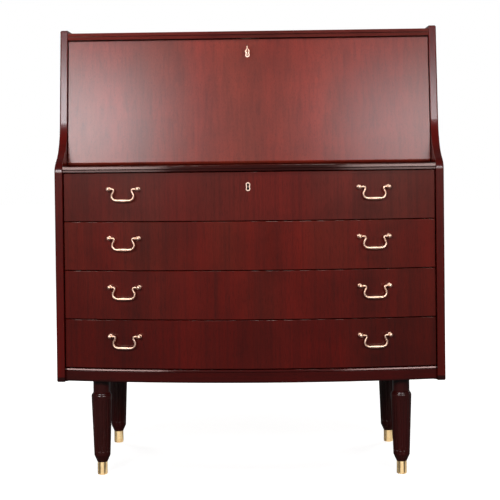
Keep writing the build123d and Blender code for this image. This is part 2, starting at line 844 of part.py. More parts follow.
def handle_bail(side, row):
    """Bail hanging between its two posts."""
    with BuildPart() as hung_bail:
        with Locations(handle_plane(side, row).offset(post_seat + post_reach)):
            add(bail.part)
    return hung_bail.part


# Drawers, counted from the top
for row in range(drawer_count):
    drawer_name = f"drawer_{row + 1}"
    finish(drawer_front(row), f"{drawer_name}_front")
    finish(drawer_sides(row), f"{drawer_name}_sides")
    finish(drawer_back(row), f"{drawer_name}_back")
    finish(drawer_bottom(row), f"{drawer_name}_bottom")
    finish(handle_posts(row), f"{drawer_name}_handle_posts")
    finish(handle_nuts(row), f"{drawer_name}_handle_nuts")
    finish(handle_bail(-1, row), f"{drawer_name}_left_bail")
    finish(handle_bail(1, row), f"{drawer_name}_right_bail")

# Flute cutter: a slim round-ended rod as long as a flute, about its own middle
shoulder_z = base_height - leg_neck_length - 2 * leg_bead_height
taper = Vector(leg_shoulder_radius - leg_ankle_radius, 0, shoulder_z - leg_ankle_height)
flute_half = taper.length / 2 - flute_margin - flute_radius
with BuildPart() as flute_cutter:
    with BuildSketch(Plane.XZ):
        with BuildLine():
            Line((0, -flute_half - flute_radius), (0, flute_half + flute_radius))
            RadiusArc((0, flute_half + flute_radius), (flute_radius, flute_half), flute_radius)
            Line((flute_radius, flute_half), (flute_radius, -flute_half))
            RadiusArc((flute_radius, -flute_half), (0, -flute_half - flute_radius), flute_radius)
        make_face()
    revolve(axis=Axis.Z)

# Turned leg about its own axis: foot in the ferrule, ankle, fluted taper, two beads, neck and tenon
foot_radius = ferrule_radius - ferrule_wall - ferrule_gap
bead_z = shoulder_z + leg_bead_height
neck_z = bead_z + leg_bead_height
bead_radius = (leg_neck_radius + leg_shoulder_radius) / 2
taper_out = Vector(taper.Z, 0, -taper.X).normalized()
flute_middle = Vector(leg_ankle_radius, 0, leg_ankle_height) + taper * 0.5
flute_origin = flute_middle + taper_out * (flute_radius - flute_sink)
with BuildPart() as turned_leg:
    with BuildSketch(Plane.XZ):
        with BuildLine():
            Polyline(
                (bead_radius + leg_quirk, bead_z),
                (bead_radius, bead_z),
                (bead_radius, bead_z + leg_quirk),
            )
            RadiusArc(
                (leg_shoulder_radius, shoulder_z), (bead_radius + leg_quirk, bead_z), -leg_bead_rounding
            )
            RadiusArc((bead_radius, bead_z + leg_quirk), (leg_neck_radius, neck_z), -leg_bead_rounding)
            Polyline(
                (leg_neck_radius, neck_z),
                (leg_neck_radius, base_height),
                (leg_tenon_radius, base_height),
                (leg_tenon_radius, base_height + leg_tenon_length),
                (0, base_height + leg_tenon_length),
                (0, ferrule_floor + ferrule_gap),
                (foot_radius, ferrule_floor + ferrule_gap),
                (foot_radius, ferrule_height),
            )
            FilletPolyline(
                (foot_radius, ferrule_height),
                (ferrule_radius, ferrule_height),
                (leg_ankle_radius, leg_ankle_height),
                (leg_shoulder_radius, shoulder_z),
                radius=[0, leg_ankle_rounding],
            )
        make_face()
    revolve(axis=Axis.Z)
    with PolarLocations(0, flute_count):
        with Locations(Plane(origin=flute_origin, x_dir=taper_out, z_dir=taper)):
            add(flute_cutter.part, mode=Mode.SUBTRACT)

for corner, (x, y) in leg_places.items():
    with BuildPart() as leg:
        with Locations((x, y)):
            add(turned_leg.part)
    finish(leg.part, f"{corner}_leg")

# Ferrule: a brass cup round the foot, rounded at its lower edge
with BuildPart() as ferrule:
    with BuildSketch(Plane.XZ):
        with BuildLine():
            FilletPolyline(
                (0, 0),
                (ferrule_radius, 0),
                (ferrule_radius, ferrule_height),
                (ferrule_radius - ferrule_wall, ferrule_height),
                (ferrule_radius - ferrule_wall, ferrule_floor),
                (0, ferrule_floor),
                radius=[ferrule_edge, 0, 0, 0],
            )
            Line((0, ferrule_floor), (0, 0))
        make_face()
    revolve(axis=Axis.Z)

with BuildPart() as ferrules:
    for x, y in leg_places.values():
        with Locations((x, y)):
            add(ferrule.part)
finish(ferrules.part, "ferrules")
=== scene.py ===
# %% [markdown]
# # A mahogany secretary desk
# This lesson dresses a packed desk: the boards, drawers, legs and locks already stand in the frame at
# their real size. What is left is what the eye judges: the lacquered mahogany, the polished brass, the
# turned and bent fittings, and the light. Everything is in metres, with the floor at z = 0.

# %% Load the frame
import json
from math import pi, radians

import bpy
from mathutils import Matrix, Vector

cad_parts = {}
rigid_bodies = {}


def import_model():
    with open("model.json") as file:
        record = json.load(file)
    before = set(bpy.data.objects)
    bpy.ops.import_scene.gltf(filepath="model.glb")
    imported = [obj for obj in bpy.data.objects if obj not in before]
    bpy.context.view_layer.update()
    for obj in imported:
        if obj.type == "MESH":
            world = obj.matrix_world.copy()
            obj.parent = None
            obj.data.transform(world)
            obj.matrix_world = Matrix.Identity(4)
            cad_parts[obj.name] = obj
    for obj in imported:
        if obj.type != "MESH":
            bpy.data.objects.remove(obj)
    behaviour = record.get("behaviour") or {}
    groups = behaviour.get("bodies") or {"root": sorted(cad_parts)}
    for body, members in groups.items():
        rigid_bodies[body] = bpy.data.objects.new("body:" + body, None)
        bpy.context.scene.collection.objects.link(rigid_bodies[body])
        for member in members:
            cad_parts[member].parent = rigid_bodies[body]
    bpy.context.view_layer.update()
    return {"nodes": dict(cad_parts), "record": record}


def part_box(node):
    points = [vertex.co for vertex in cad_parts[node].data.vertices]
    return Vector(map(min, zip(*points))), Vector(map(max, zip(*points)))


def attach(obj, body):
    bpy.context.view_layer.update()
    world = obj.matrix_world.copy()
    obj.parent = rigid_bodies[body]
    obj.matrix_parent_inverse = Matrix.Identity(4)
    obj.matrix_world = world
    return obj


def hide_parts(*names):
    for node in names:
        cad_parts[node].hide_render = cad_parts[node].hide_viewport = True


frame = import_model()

# %% [markdown]
# ## The camera
# The photograph was taken from about three metres, a little right of the middle and just under the
# level of the flap's lower edge. The picture's centre lies below the lens axis, as in a cropped
# photograph, so the camera keeps its small tilt and the lens is shifted instead of tilting further.

# %% Camera
camera_place = Vector((0.0454, -3.1292, 0.7766))
camera_turn = radians(1.944)
camera_dip = radians(0.826)
camera_roll = radians(0.66)
camera_lens = 89.81
camera_shift = (0.0502, -0.1636)

bpy.ops.object.select_all(action="DESELECT")
bpy.ops.object.camera_add(location=camera_place)
camera = bpy.context.object
camera.name = "photo_camera"
camera.rotation_euler = (
    Matrix.Rotation(camera_turn, 3, "Z")
    @ Matrix.Rotation(pi / 2 - camera_dip, 3, "X")
    @ Matrix.Rotation(-camera_roll, 3, "Z")
).to_euler()
camera.data.lens = camera_lens
camera.data.shift_x, camera.data.shift_y = camera_shift
bpy.context.scene.camera = camera
bpy.context.scene.view_settings.view_transform = "Standard"
print("camera", camera.name, "lens", camera.data.lens)


# %% [markdown]
# ## Light
# The desk was lit by broad soft lights in front, on the left and on the right, which leave the middle of
# the flap darker and its sides pale. One pair could light everything, but on the real desk the flap, the
# noses of the boards and the drawers each catch the light at their own height and with their own tint. So
# each has its own pair, and light linking keeps a pair off the boards that it would whiten. A pair overhead
# lights the tops, and two weak lights behind keep the back from going black. The world is white only to the
# camera, so that the lacquer isn't washed out by a white room.

# %% Lights and world
def soft_light(name, place, target, width, height, watts):
    """A rectangular area light that looks from one point at another."""
    bpy.ops.object.light_add(type="AREA", location=place)
    light = bpy.context.object
    light.name = name
    aim = Vector(target) - Vector(place)
    light.rotation_euler = aim.to_track_quat("-Z", "Y").to_euler()
    light.data.shape = "RECTANGLE"
    light.data.size = width
    light.data.size_y = height
    light.data.energy = watts
    return light


def link_lights(lights, names, state):
    """Lets lights fall only on some nodes (INCLUDE), or on all but those (EXCLUDE)."""
    linked = bpy.data.collections.new(f"{lights[0].name}_nodes")
    for name in names:
        linked.objects.link(frame["nodes"][name])
    for entry in linked.collection_objects:
        entry.light_linking.link_state = state
    for light in lights:
        light.light_linking.receiver_collection = linked


flap_middle = (0, -0.07, 0.9)
front_middle = (0, -0.1, 0.7)
back_middle = (0, 0, 0.6)
flap_lights = [
    soft_light("left_flap_light", (-1.15, -3.0, 1.63), flap_middle, 1.25, 0.50, 30),
    soft_light("right_flap_light", (1.06, -3.0, 1.60), flap_middle, 1.30, 0.42, 18),
]
nose_lights = [
    soft_light("left_nose_light", (-1.70, -3.0, 1.22), flap_middle, 1.50, 0.40, 25),
    soft_light("right_nose_light", (1.72, -3.0, 1.22), flap_middle, 1.50, 0.40, 24),
]
front_fills = [
    soft_light("left_front_fill", (-1.60, -3.0, 1.24), flap_middle, 1.50, 0.34, 13),
    soft_light("right_front_fill", (1.65, -3.0, 1.24), flap_middle, 1.50, 0.34, 16),
]
upper_lights = [
    soft_light("upper_left_light", (-1.2, -1.1, 2.9), front_middle, 0.9, 0.9, 24),
    soft_light("upper_right_light", (1.2, -1.1, 2.9), front_middle, 0.9, 0.9, 24),
]
soft_light("rear_left_fill", (-2.6, 2.6, 1.8), back_middle, 1.6, 1.6, 40)
soft_light("rear_right_fill", (2.6, 2.6, 1.8), back_middle, 1.6, 1.6, 40)

lower_boards = ["desk_shelf", "base_board"]
side_panels = ["left_side_panel", "right_side_panel"]
for lights, tint, names, state in (
    (flap_lights, (1.0, 0.965, 1.0), ["top_board", *lower_boards], "EXCLUDE"),
    (nose_lights, (1.0, 0.72, 0.68), lower_boards, "INCLUDE"),
    (front_fills, (1.0, 0.86, 0.72), lower_boards, "EXCLUDE"),
    (upper_lights, (1.0, 0.95, 0.86), side_panels, "EXCLUDE"),
):
    for light in lights:
        light.data.color = tint
    link_lights(lights, names, state)

world = bpy.data.worlds.new("studio")
bpy.context.scene.world = world
world.use_nodes = True
sky = world.node_tree
seen = sky.nodes.new("ShaderNodeLightPath")
surroundings = sky.nodes["Background"]
surroundings.inputs["Color"].default_value = (0.95, 0.97, 1.0, 1)
surroundings.inputs["Strength"].default_value = 0.06
for ray, strength in (("Is Glossy Ray", 0.09), ("Is Camera Ray", 1.0)):
    shown = sky.nodes.new("ShaderNodeBackground")
    shown.inputs["Color"].default_value = (1, 1, 1, 1)
    shown.inputs["Strength"].default_value = strength
    choose = sky.nodes.new("ShaderNodeMixShader")
    sky.links.new(seen.outputs[ray], choose.inputs["Fac"])
    sky.links.new(surroundings.outputs[0], choose.inputs[1])
    sky.links.new(shown.outputs["Background"], choose.inputs[2])
    surroundings = choose
sky.links.new(surroundings.outputs[0], sky.nodes["World Output"].inputs["Surface"])


# %% [markdown]
# ## Writing materials
# A finish here is a small tree of nodes that starts from Object coordinates, which on every piece are
# the desk's own metres. These helpers keep each tree short: one adds a node and fills or links its
# sockets, one stretches a noise along the grain, and one picks colours along a ramp.

# %% Node helpers
def add_node(tree, kind, settings=None, **sockets):
    """Adds a node; a socket given another node's output is linked, and anything else is set."""
    node = tree.nodes.new(kind)
    for name, value in (settings or {}).items():
        setattr(node, name, value)
    for name, value in sockets.items():
        socket = node.inputs[name.replace("_", " ")]
        if isinstance(value, bpy.types.NodeSocket):
            tree.links.new(value, socket)
        else:
            socket.default_value = value
    return node


def stretched_noise(tree, space, stretch, detail=3.0, roughness=0.55, distortion=0.0, seed=0.0):
    """Noise in a space that is scaled along each axis, so that it runs along the grain."""
    moved = (seed, seed * 1.7, seed * 0.6)
    scaled = add_node(tree, "ShaderNodeMapping", Vector=space, Scale=stretch, Location=moved)
    noise = add_node(
        tree, "ShaderNodeTexNoise", Vector=scaled.outputs["Vector"], Scale=1.0, Detail=detail,
        Roughness=roughness, Distortion=distortion,
    )
    return noise.outputs["Fac"]


def ramp(tree, factor, *stops):
    """Colours, or greys given as one number, along a factor from 0 to 1."""
    node = add_node(tree, "ShaderNodeValToRGB", Fac=factor)
    elements = node.color_ramp.elements
    while len(elements) < len(stops):
        elements.new(0.5)
    for element, (position, colour) in zip(elements, stops):
        element.position = position
        element.color = (*colour, 1) if isinstance(colour, tuple) else (colour, colour, colour, 1)
    return node.outputs["Color"]


def mix(tree, blend, factor, first, second):
    """Two colours blended the given way."""
    node = tree.nodes.new("ShaderNodeMix")
    node.data_type = "RGBA"
    node.blend_type = blend
    for socket, value in ((node.inputs[0], factor), (node.inputs[6], first), (node.inputs[7], second)):
        if isinstance(value, bpy.types.NodeSocket):
            tree.links.new(value, socket)
        else:
            socket.default_value = value
    return node.outputs[2]


def new_material(name):
    """An empty node material with its shader and the Object coordinates."""
    material = bpy.data.materials.new(name)
    material.use_nodes = True
    tree = material.node_tree
    place = add_node(tree, "ShaderNodeTexCoord").outputs["Object"]
    return material, tree, tree.nodes["Principled BSDF"], place


# %% [markdown]
# ## Lacquered mahogany
# Mahogany shows long soft ribbons a few centimetres wide, finer streaks inside them and short dark
# pores, and over these a cloudy figure and slow changes of hue. A picture of a board could be laid on, but
# it would repeat or end at a seam, so each of the five is a noise stretched along the grain. The grain
# stands upright on the flap, the drawers, the sides and the legs, and runs across on the boards, so the
# space is turned for those. The flap and the drawer fronts are veneered in broad leaves that differ a
# little in tone. The satin lacquer is the shader's coat. A material can have a foot: a lower strip with its
# own tone and coat. On the panels and the base the foot is darkened, a painted shade of their shadowed
# lower edges. On the shelf the lower strip keeps its tone and only has a thinner coat, so it is duller. The
# tones of the pieces also hold painted light. They grow darker from the flap down through the drawers to
# the base and the legs, a painted shade of the light falling off towards the floor. The boards are
# lightened to stand in for the front light that linking keeps off the top board.

# %% Mahogany
lacquer_coat = 0.9


def mahogany(
    name, tone, along="Z", seed=0.0, leaf=None, coat_roughness=0.2, contrast=0.23,
    foot=None, painted_foot_shade=0.2, foot_coat=1.0,
):
    """Red-brown mahogany under a satin lacquer.

    leaf is the width of the veneer's leaves, if it has any. foot holds the two heights between which a
    lower strip passes into the rest. painted_foot_shade is the share of the tone kept in that strip, a
    painted shade of a shadowed lower edge when it is below 1, and foot_coat is the strip's share of the coat.
    """
    material, tree, shader, place = new_material(name)
    turn = (0, pi / 2, 0) if along == "X" else (0, 0, 0)
    grain = add_node(tree, "ShaderNodeMapping", Vector=place, Rotation=turn).outputs["Vector"]
    ribbon = stretched_noise(tree, grain, (15, 15, 0.8), 2.0, 0.5, 0.4, seed)
    streak = stretched_noise(tree, grain, (130, 130, 2.2), 4.0, 0.6, 0.4, seed + 3)
    pore = stretched_noise(tree, grain, (1500, 1500, 60), 2.0, 0.5, 0.0, seed + 7)
    figure = stretched_noise(tree, grain, (7, 7, 9), 2.0, 0.5, 0.6, seed + 11)
    blush = stretched_noise(tree, grain, (7, 7, 1.6), 1.0, 0.5, 0.3, seed + 15)
    dark = tuple((1 - contrast) * channel for channel in tone)
    light = tuple((1 + contrast) * channel for channel in tone)
    wood = ramp(tree, ribbon, (0.25, dark), (0.5, tone), (0.78, light))
    hue = ramp(tree, blush, (0.34, (1 - contrast, 1.0, 1.0)), (0.62, (1.0, 1 - contrast, 1 - contrast)))
    wood = mix(tree, "MULTIPLY", 1.0, wood, hue)
    wood = mix(tree, "MULTIPLY", 0.75, wood, ramp(tree, streak, (0.3, 0.62), (0.55, 0.95), (0.75, 1.0)))
    wood = mix(tree, "MULTIPLY", 0.8, wood, ramp(tree, figure, (0.3, 0.74), (0.7, 1.05)))
    wood = mix(tree, "MULTIPLY", 0.55, wood, ramp(tree, pore, (0.36, 0.35), (0.46, 1.0)))
    if leaf:
        across = add_node(tree, "ShaderNodeSeparateXYZ", Vector=place).outputs["X"]
        count = add_node(tree, "ShaderNodeMath", {"operation": "DIVIDE"})
        tree.links.new(across, count.inputs[0])
        count.inputs[1].default_value = leaf
        number = add_node(tree, "ShaderNodeMath", {"operation": "ROUND"})
        tree.links.new(count.outputs[0], number.inputs[0])
        draw = add_node(tree, "ShaderNodeTexWhiteNoise", {"noise_dimensions": "1D"}, W=number.outputs[0])
        leaf_tone = ramp(tree, draw.outputs["Value"], (0.0, 0.84), (1.0, 1.0))
        wood = mix(tree, "MULTIPLY", 1.0, wood, leaf_tone)
    if foot:
        height = add_node(tree, "ShaderNodeSeparateXYZ", Vector=place).outputs["Z"]
        rise = add_node(tree, "ShaderNodeMapRange", Value=height, From_Min=foot[0], From_Max=foot[1])
        rise = rise.outputs["Result"]
        wood = mix(tree, "MULTIPLY", 1.0, wood, ramp(tree, rise, (0.0, painted_foot_shade), (1.0, 1.0)))
        strip_coat = ramp(tree, rise, (0.0, lacquer_coat * foot_coat), (1.0, lacquer_coat))
        tree.links.new(strip_coat, shader.inputs["Coat Weight"])
    tree.links.new(wood, shader.inputs["Base Color"])
    tree.links.new(ramp(tree, streak, (0.3, 0.42), (0.7, 0.32)), shader.inputs["Roughness"])
    shader.inputs["Specular IOR Level"].default_value = 0.1
    shader.inputs["Coat Weight"].default_value = lacquer_coat
    shader.inputs["Coat Roughness"].default_value = coat_roughness
    bump = add_node(tree, "ShaderNodeBump", Height=pore, Strength=0.12, Distance=0.0003)
    tree.links.new(bump.outputs["Normal"], shader.inputs["Normal"])
    return material


def foot_of(node, height, fade):
    """Heights where a node's lower strip starts to fade and where it has gone."""
    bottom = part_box(node)[0][2]
    return bottom + height, bottom + height + fade


veneer_leaf = 0.466
# The flap's tone is the palest: the top of a painted fall of light that darkens the pieces below it.
flap_veneer = mahogany(
    "mahogany_flap", (0.29, 0.030, 0.015), seed=4.0, leaf=veneer_leaf, coat_roughness=0.23, contrast=0.16,
)
# Each drawer row is darker than the one above it: painted shade of the light falling off towards the floor.
drawer_tones_shaded_downward = [
    (0.172, 0.0175, 0.0120), (0.176, 0.0125, 0.0065), (0.148, 0.0100, 0.0055), (0.126, 0.0060, 0.0030),
]
drawer_veneers = [
    mahogany(f"mahogany_drawer_{row}", tone, seed=5.0 + row, leaf=veneer_leaf, coat_roughness=0.17)
    for row, tone in enumerate(drawer_tones_shaded_downward, start=1)
]
# The panels' foot darkens their lowest few millimetres: painted shade of the shadowed lower edge.
panel_mahogany = mahogany(
    "mahogany_panels", (0.175, 0.006, 0.003), seed=9.0, coat_roughness=0.18,
    foot=foot_of("left_side_panel", 0.009, 0.004),
)
# The boards' tone is lightened to stand in for the front light that linking keeps off the top board: painted
# light.
board_mahogany = mahogany("mahogany_boards", (0.27, 0.037, 0.031), along="X", seed=14.0, coat_roughness=0.16)
shelf_mahogany = mahogany(
    "mahogany_shelf", (0.050, 0.006, 0.0045), along="X", seed=15.0, coat_roughness=0.12,
    foot=foot_of("desk_shelf", 0.0045, 0.0005), painted_foot_shade=1.0, foot_coat=0.4,
)
# The base is darker than the drawers, painted shade of the light falling off downwards, and its foot darkens its
# lower edge further as painted shade.
base_mahogany = mahogany(
    "mahogany_base", (0.105, 0.0062, 0.0042), along="X", seed=17.0, coat_roughness=0.12,
    foot=foot_of("base_board", 0.0, 0.005),
)
# The legs are darkest: partly their own darker wood and partly painted shade below the carcase.
leg_mahogany = mahogany("mahogany_legs", (0.058, 0.006, 0.005), seed=21.0)
print("mahogany materials", [m.name for m in bpy.data.materials if m.name.startswith("mahogany_")])


# %% [markdown]
# ## The lighter woods
# Inside, such a desk is made of cheaper, lighter wood: beech for the drawer boxes, runners and
# pigeonholes, and plywood for the drawer bottoms and the back. Both are the same idea as the mahogany
# with paler colours, fewer pores and a matt varnish.

# %% Light wood and plywood
def plain_wood(name, along, dark, light, roughness, seed):
    """Pale wood with fine streaks and small flecks, under a matt varnish."""
    material, tree, shader, place = new_material(name)
    turn = {"X": (0, pi / 2, 0), "Y": (pi / 2, 0, 0), "Z": (0, 0, 0)}[along]
    grain = add_node(tree, "ShaderNodeMapping", Vector=place, Rotation=turn).outputs["Vector"]
    ribbon = stretched_noise(tree, grain, (16, 16, 1.0), 2.0, 0.5, 0.8, seed)
    streak = stretched_noise(tree, grain, (160, 160, 4), 4.0, 0.6, 0.3, seed + 4)
    fleck = stretched_noise(tree, grain, (700, 700, 110), 1.0, 0.5, 0.0, seed + 8)
    wood = ramp(tree, ribbon, (0.3, dark), (0.7, light))
    wood = mix(tree, "MULTIPLY", 0.6, wood, ramp(tree, streak, (0.3, 0.72), (0.65, 1.0)))
    wood = mix(tree, "MULTIPLY", 0.5, wood, ramp(tree, fleck, (0.28, 0.55), (0.38, 1.0)))
    tree.links.new(wood, shader.inputs["Base Color"])
    shader.inputs["Roughness"].default_value = roughness
    bump = add_node(tree, "ShaderNodeBump", Height=streak, Strength=0.15, Distance=0.0004)
    tree.links.new(bump.outputs["Normal"], shader.inputs["Normal"])
    return material


beech_dark = (0.36, 0.21, 0.11)
beech_light = (0.52, 0.33, 0.19)
beech_along_drawers = plain_wood("beech_sides", "Y", beech_dark, beech_light, 0.5, 3.0)
beech_across = plain_wood("beech_across", "X", beech_dark, beech_light, 0.5, 6.0)
beech_upright = plain_wood("beech_upright", "Z", beech_dark, beech_light, 0.5, 10.0)
plywood_bottom = plain_wood("plywood_bottoms", "X", (0.34, 0.20, 0.10), (0.44, 0.27, 0.15), 0.6, 13.0)
plywood_back = plain_wood("plywood_back", "Z", (0.22, 0.095, 0.05), (0.31, 0.145, 0.08), 0.55, 17.0)
print("light woods made")


# %% [markdown]
# ## Brass and steel
# The handles, ferrules, keyhole plates and key are brass: satin on the handles, bright on the ferrules.
# Metal takes its look from what it mirrors, so the finish only needs a clean colour, fine polishing marks
# in its roughness, and a slight browning in soft clouds. The flap's pivots are dark
# bronze and the lock cases dark iron, and the bolts, nuts and screws are plated steel.

# %% Metals
def polished_metal(name, colour, dull, roughness, seed):
    """Metal with a faint tarnish, its dull colour, and fine polishing marks."""
    material, tree, shader, place = new_material(name)
    cloud = stretched_noise(tree, place, (55, 55, 55), 4.0, 0.6, 0.5, seed)
    marks = stretched_noise(tree, place, (2600, 2600, 420), 2.0, 0.6, 0.0, seed + 5)
    tree.links.new(ramp(tree, cloud, (0.32, dull), (0.6, colour)), shader.inputs["Base Color"])
    tree.links.new(
        ramp(tree, marks, (0.3, roughness * 0.75), (0.7, roughness * 1.3)), shader.inputs["Roughness"]
    )
    shader.inputs["Metallic"].default_value = 1.0
    bump = add_node(tree, "ShaderNodeBump", Height=marks, Strength=0.04, Distance=0.0001)
    tree.links.new(bump.outputs["Normal"], shader.inputs["Normal"])
    return material


brass = polished_metal("polished_brass", (1.0, 0.73, 0.59), (0.96, 0.64, 0.48), 0.42, 1.0)
pale_brass = polished_metal("pale_brass", (1.0, 0.74, 0.62), (0.92, 0.64, 0.50), 0.30, 17.0)
ferrule_brass = polished_metal("ferrule_brass", (0.86, 0.63, 0.33), (0.74, 0.50, 0.24), 0.14, 8.0)
bronze = polished_metal("dark_bronze", (0.16, 0.10, 0.06), (0.10, 0.06, 0.035), 0.35, 11.0)
iron = polished_metal("dark_iron", (0.045, 0.042, 0.04), (0.03, 0.027, 0.025), 0.5, 14.0)
steel = polished_metal("plated_steel", (0.60, 0.58, 0.54), (0.44, 0.42, 0.38), 0.32, 4.0)
print("metals", brass.name, steel.name)

# %% [markdown]
# ## Dressing the boards
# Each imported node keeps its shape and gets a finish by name: veneer on the flap and the drawer fronts,
# solid mahogany on the frame and the legs, and the pale woods inside.

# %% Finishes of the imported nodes
finishes = {
    flap_veneer: ["fall_flap"],
    panel_mahogany: ["left_side_panel", "right_side_panel"],
    board_mahogany: ["top_board", "writing_bed"],
    shelf_mahogany: ["desk_shelf"],
    base_mahogany: ["base_board", "flap_stop"],
    leg_mahogany: ["front_left_leg", "front_right_leg", "rear_left_leg", "rear_right_leg"],
    beech_across: ["pigeonhole_shelf"],
    beech_upright: ["pigeonhole_dividers"],
    beech_along_drawers: ["left_drawer_runners", "right_drawer_runners"],
    plywood_back: ["back_panel"],
    brass: ["strike_plates"],
    pale_brass: ["fall_escutcheon", "drawer_escutcheon", "key"],
    ferrule_brass: ["ferrules"],
    bronze: ["flap_bushes", "flap_pivot_pins"],
    iron: ["fall_lock_case", "drawer_lock_case"],
    steel: ["fall_lock_bolt", "drawer_lock_bolt"],
    plywood_bottom: [],
}
drawers = ["drawer_1", "drawer_2", "drawer_3", "drawer_4"]
for drawer, veneer in zip(drawers, drawer_veneers):
    finishes[veneer] = [f"{drawer}_front"]
    finishes[beech_along_drawers].append(f"{drawer}_sides")
    finishes[beech_across].append(f"{drawer}_back")
    finishes[plywood_bottom].append(f"{drawer}_bottom")
    finishes[steel].append(f"{drawer}_handle_nuts")
    finishes[brass].append(f"{drawer}_handle_posts")
for finish, names in finishes.items():
    for name in names:
        frame["nodes"][name].material_slots[0].material = finish
print("finished", sum(len(names) for names in finishes.values()), "nodes")

# %% [markdown]
# ## Swan-neck bails
# Each handle is a cast bail with two swan necks: a short arm with a small swelling leaves the ball, turns
# down, leans outwards and runs into a bar that is thickest in the middle. The frame has it as a plain
# bent wire. A chain of extruded rings could give the swelling, but a curve that carries its own radius at
# each point is smoother and easier to read, so one curve is drawn along the wire, rounded, and then made
# a mesh. It is modelled once, lying about the middle of its pins, and copied to the eight handles.

# %% One bail
# Half of the bail in mm: place along the line of its pins, height, and radius of the wire.
bail_stations = [
    (-33.9, 0.0, 1.5), (-32.0, 0.0, 1.5), (-30.4, 0.0, 1.5), (-29.9, 0.0, 2.0), (-28.6, 0.1, 2.7),
    (-26.9, 0.3, 2.5), (-25.0, 0.2, 2.15), (-22.6, -0.4, 2.15), (-21.3, -3.0, 2.15), (-22.4, -6.4, 2.15),
    (-24.4, -9.8, 2.2), (-26.2, -13.5, 2.25), (-26.6, -17.6, 2.3), (-25.0, -21.9, 2.4), (-21.8, -25.3, 2.5),
    (-16.5, -27.0, 2.65), (-10.0, -27.2, 2.95), (-4.0, -27.3, 3.5),
]
bail_points = bail_stations + [(-x, z, radius) for x, z, radius in reversed(bail_stations)]

bpy.ops.object.select_all(action="DESELECT")
bpy.ops.curve.primitive_nurbs_path_add(radius=0.01)
bail_master = bpy.context.object
bail_curve = bail_master.data
bail_curve.splines.clear()
wire = bail_curve.splines.new("NURBS")
wire.points.add(len(bail_points) - 1)
for point, (x, z, radius) in zip(wire.points, bail_points):
    point.co = (x / 1000, 0, z / 1000, 1)
    point.radius = radius
wire.use_endpoint_u = True
wire.order_u = 4
wire.resolution_u = 5
bail_curve.bevel_depth = 0.001
bail_curve.bevel_resolution = 5
bail_curve.use_fill_caps = True
bpy.ops.object.convert(target="MESH")
bail_master = bpy.context.object
bpy.ops.object.mode_set(mode="EDIT")
bpy.ops.mesh.select_all(action="SELECT")
bpy.ops.mesh.remove_doubles(threshold=0.00001)
bpy.ops.mesh.normals_make_consistent(inside=False)
bpy.ops.object.mode_set(mode="OBJECT")
bpy.ops.object.shade_smooth_by_angle(angle=radians(40))
print("bail", len(bail_master.data.polygons), "faces")

# %% [markdown]
# Each bail hangs from the line through its two posts. The frame states that line as the joint that the
# bail swings on, so a copy is turned and moved onto it, and its place is then applied to its own mesh.

# %% Eight bails
joints = {joint["name"]: joint for joint in frame["record"]["behaviour"]["joints"]}


def copy_of(master, name, place):
    """A copy with its own mesh, put where a matrix says, with the place applied to the mesh."""
    bpy.ops.object.select_all(action="DESELECT")
    master.select_set(True)
    bpy.context.view_layer.objects.active = master
    bpy.ops.object.duplicate(linked=False)
    copied = bpy.context.object
    copied.name = name
    copied.matrix_world = place
    bpy.ops.object.transform_apply(location=True, rotation=True, scale=True)
    return copied


def hinge_place(joint):
    """Matrix of a bail: its pins' line along X, up along Z, and its middle on the joint."""
    along = -Vector(joint["axis"])
    up = Vector((0, 0, 1))
    turned = Matrix((along, up.cross(along), up)).transposed().to_4x4()
    return Matrix.Translation(joint["pos_m"]) @ turned


for drawer in drawers:
    for side in ("left", "right"):
        bail_node = f"{drawer}_{side}_bail"
        bail = copy_of(bail_master, f"{bail_node}_cast", hinge_place(joints[f"{bail_node}_swing"]))
        bail.data.materials.clear()
        bail.data.materials.append(brass)
        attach(bail, bail_node)
        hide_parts(bail_node)
bpy.data.objects.remove(bail_master)

# %% [markdown]
# ## Screws of the locks and the strike plates
# Each lock case is let into its board and held by four slotted screws, and each strike plate by two. The
# head could be a plain disc, but it is the slot and the low dome that make a screw read as one, so a disc
# gets a rounded rim and a slot cut by a boolean. The screw is modelled with one metre for each millimetre,
# so that its sizes read as on a drawing, and shrunk where it is set. The lock in the flap leans with it, so
# a helper finds the plane of a plate's face to set the screws out on.

# %% One slotted screw
screw_radius = 2.4
screw_height = 1.0
screw_rim = 0.4
screw_proud = 0.35
slot_width = 0.7
slot_depth = 0.4
slot_first_turn = 0.4
slot_next_turn = 0.9


def edit_faces(piece, chosen):
    """Enters edit mode on the active piece with only those faces selected that a test picks."""
    bpy.ops.object.mode_set(mode="EDIT")
    bpy.ops.mesh.select_mode(type="FACE")
    bpy.ops.mesh.select_all(action="DESELECT")
    bpy.ops.object.mode_set(mode="OBJECT")
    for face in piece.data.polygons:
        face.select = chosen(face)
    bpy.ops.object.mode_set(mode="EDIT")


bpy.ops.object.select_all(action="DESELECT")
bpy.ops.mesh.primitive_cylinder_add(vertices=32, radius=screw_radius, depth=screw_height)
screw_master = bpy.context.object
edit_faces(screw_master, lambda face: face.normal.z > 0.9)
bpy.ops.mesh.bevel(offset=screw_rim, segments=3, affect="EDGES")
bpy.ops.object.mode_set(mode="OBJECT")
bpy.ops.mesh.primitive_cube_add(size=1, location=(0, 0, screw_height / 2))
slot_cutter = bpy.context.object
slot_cutter.scale = (3 * screw_radius, slot_width, 2 * slot_depth)
bpy.ops.object.transform_apply(location=True, rotation=False, scale=True)
bpy.context.view_layer.objects.active = screw_master
slot_cut = screw_master.modifiers.new("slot", "BOOLEAN")
slot_cut.operation = "DIFFERENCE"
slot_cut.object = slot_cutter
bpy.ops.object.modifier_apply(modifier="slot")
bpy.data.objects.remove(slot_cutter)
screw_master.data.materials.append(steel)
print("screw", len(screw_master.data.polygons), "faces")


